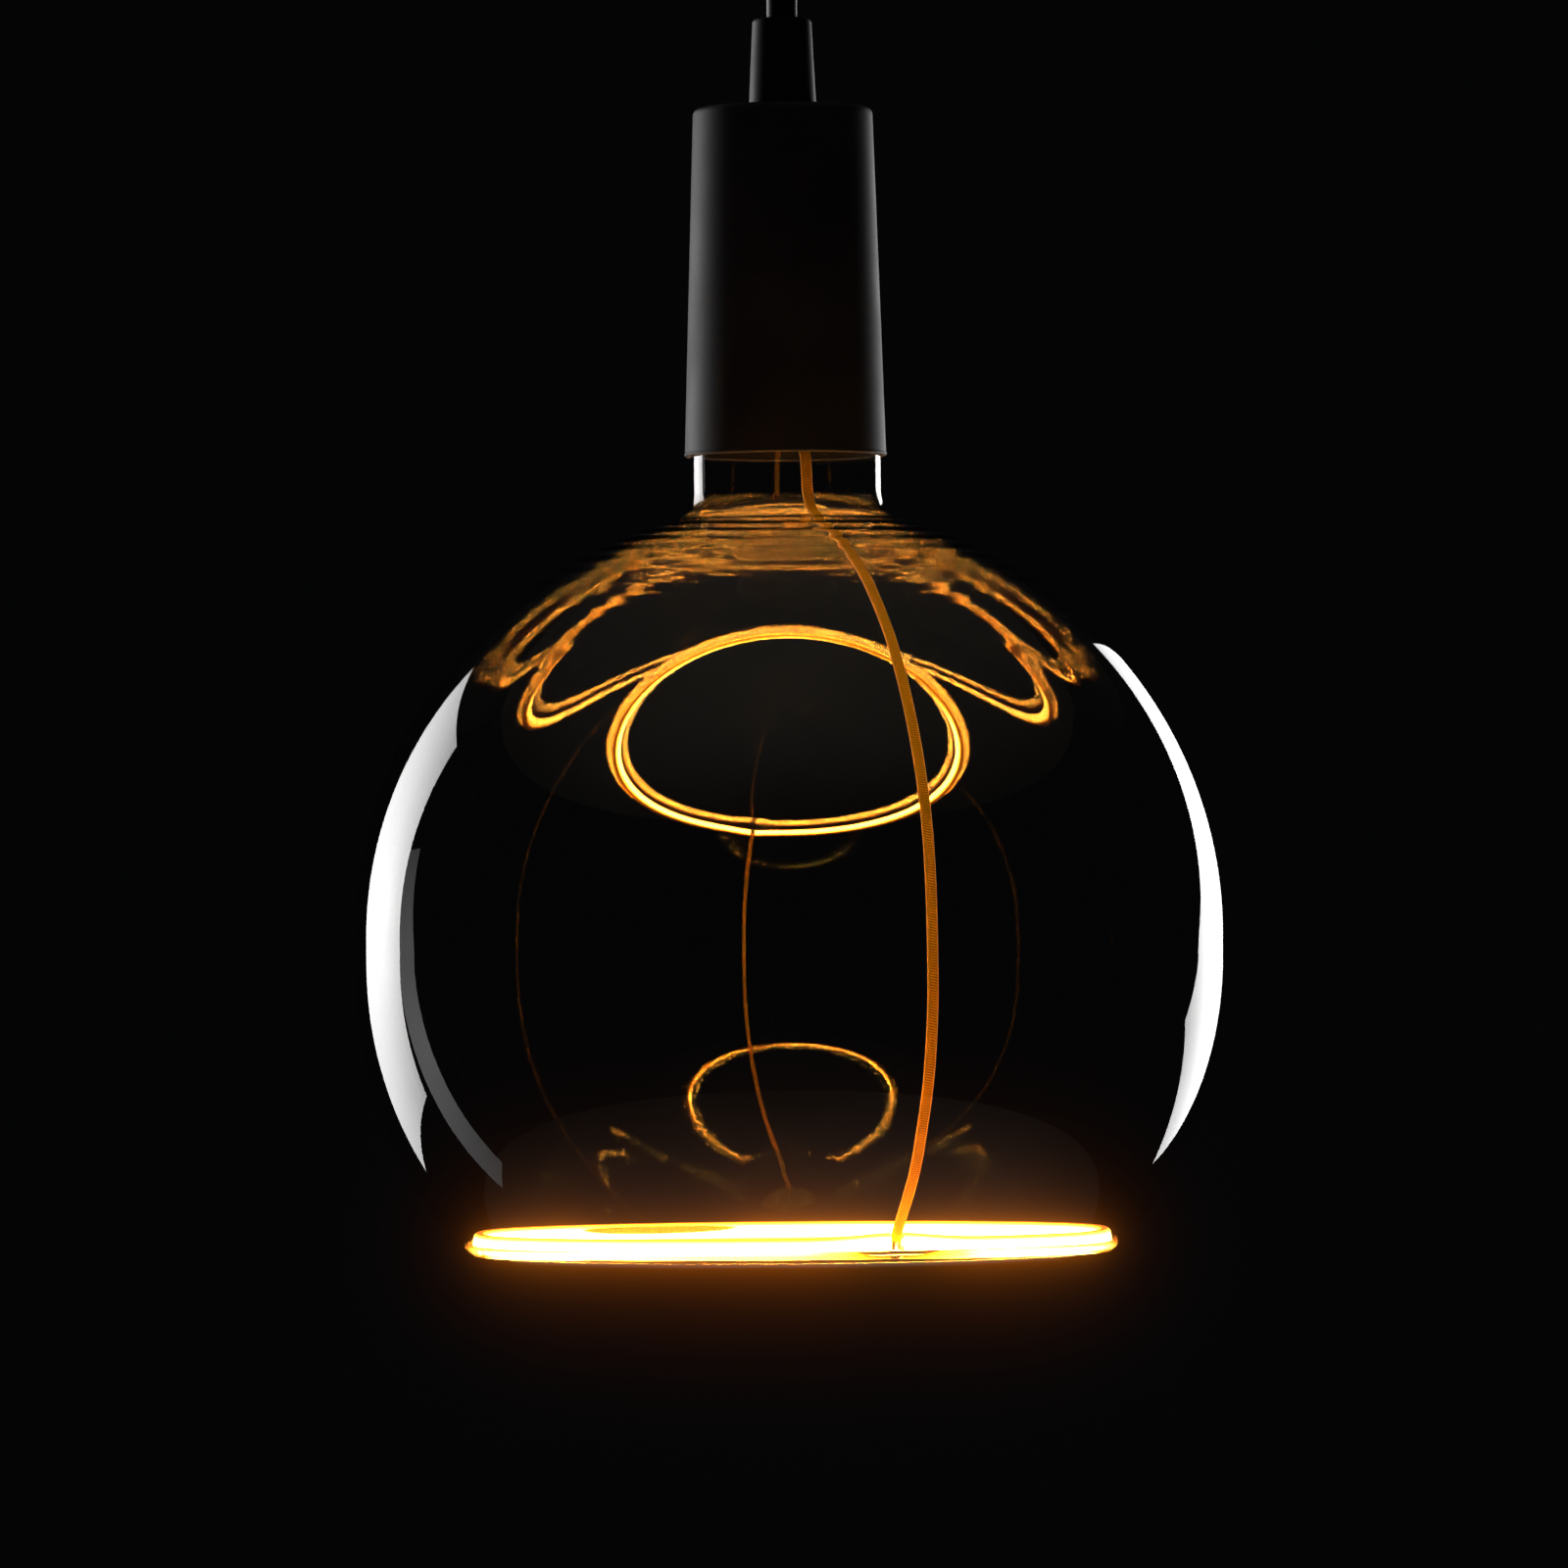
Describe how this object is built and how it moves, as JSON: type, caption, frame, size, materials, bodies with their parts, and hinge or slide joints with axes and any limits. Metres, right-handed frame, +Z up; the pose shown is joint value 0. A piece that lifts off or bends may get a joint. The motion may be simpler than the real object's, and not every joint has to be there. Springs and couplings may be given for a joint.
{
  "type": "pendant globe lamp",
  "caption": "Clear glass globe lamp with a glowing filament ring on its flat bottom, screwed into a black tapered pendant holder under a ceiling cup.",
  "frame": {"origin": "centre of the ceiling cup's flat top, where the bracket rests on the ceiling", "axes": "+Z up along the lamp's axis, towards the ceiling; the front of the lamp looks along -Y"},
  "size_m": [0.2, 0.2, 0.3728],
  "materials": {
    "clear_glass": "clear blown glass, faintly warm",
    "phosphor_silicone": "amber phosphor silicone over the light-emitting chips, glowing",
    "flex_circuit": "thin flexible circuit ribbon",
    "tinned_metal": "bright tinned copper or nickel",
    "clear_silicone": "clear silicone adhesive",
    "amber_insulation": "translucent amber insulation of a flat two-core lead",
    "nickel_plate": "nickel-plated brass, satin bright",
    "cement": "pale capping cement",
    "black_glass": "black moulded insulator",
    "brass": "bright brass",
    "white_plastic": "white moulded plastic",
    "circuit_board": "green glass-fibre circuit board",
    "capacitor_sleeve": "dark blue shrink sleeve",
    "enamelled_copper": "enamelled copper winding",
    "black_epoxy": "black moulded epoxy",
    "resistor_lacquer": "grey-blue lacquer",
    "black_coated_metal": "satin black coating on spun metal",
    "black_moulding": "black moulded plastic",
    "phosphor_bronze": "spring bronze",
    "steatite": "unglazed white steatite",
    "zinc_steel": "zinc-plated steel",
    "nylon": "natural nylon",
    "black_jacket": "black round cord jacket",
    "brown_insulation": "brown core insulation",
    "blue_insulation": "blue core insulation",
    "green_insulation": "green and yellow core insulation"
  },
  "bodies": {
    "holder": {"holder_sleeve": "black_coated_metal", "socket_body": "black_moulding", "socket_shell": "brass", "contact_block": "steatite", "centre_spring": "phosphor_bronze", "shell_link": "phosphor_bronze", "terminals": "brass", "terminal_screws": "zinc_steel", "socket_cap": "black_moulding", "threaded_nipple": "zinc_steel", "lock_washer": "zinc_steel", "earth_tag": "brass", "lock_nut": "zinc_steel", "cord_grip": "black_moulding", "grip_collet": "nylon", "cord_end": "black_jacket", "core_live": "brown_insulation", "core_neutral": "blue_insulation", "core_earth": "green_insulation", "supply_cord": "black_jacket", "cup_gland": "black_moulding", "gland_nipple": "zinc_steel", "gland_nut": "zinc_steel", "gland_collet": "nylon", "ceiling_cup": "black_coated_metal", "ceiling_bracket": "zinc_steel", "cup_screws": "black_coated_metal", "connector_block": "white_plastic", "connector_screws": "zinc_steel", "cup_cord_end": "black_jacket", "cup_cores": "brown_insulation"},
    "carrier": {"centre_contact": "brass"},
    "bulb": {"glass_globe": "clear_glass", "glass_stem": "clear_glass", "filament_strip": "phosphor_silicone", "filament_ribbon": "flex_circuit", "filament_lugs": "tinned_metal", "filament_adhesive": "clear_silicone", "filament_lead": "amber_insulation", "lead_splices": "tinned_metal", "lead_in_wires": "tinned_metal", "screw_cap": "nickel_plate", "cap_cement": "cement", "cap_insulator": "black_glass", "contact_wire": "tinned_metal", "shell_wire": "tinned_metal", "driver_liner": "white_plastic", "driver_board": "circuit_board", "smoothing_capacitor": "capacitor_sleeve", "choke_coil": "enamelled_copper", "bridge_rectifier": "black_epoxy", "fuse_resistor": "resistor_lacquer"}
  },
  "joints": [
    {"name": "bulb_travel", "type": "slide", "parent": "holder", "child": "carrier", "axis": [0, 0, -1], "range_m": [0, 0.02]},
    {"name": "bulb_turn", "type": "hinge", "parent": "carrier", "child": "bulb", "pos_m": [0, 0, -0.1887], "axis": [0, 0, -1], "range_deg": [0, 1980]}
  ],
  "couplings": [
    {"joint": "bulb_travel", "follows": "bulb_turn", "m_per_rad": 0.00057757}
  ]
}
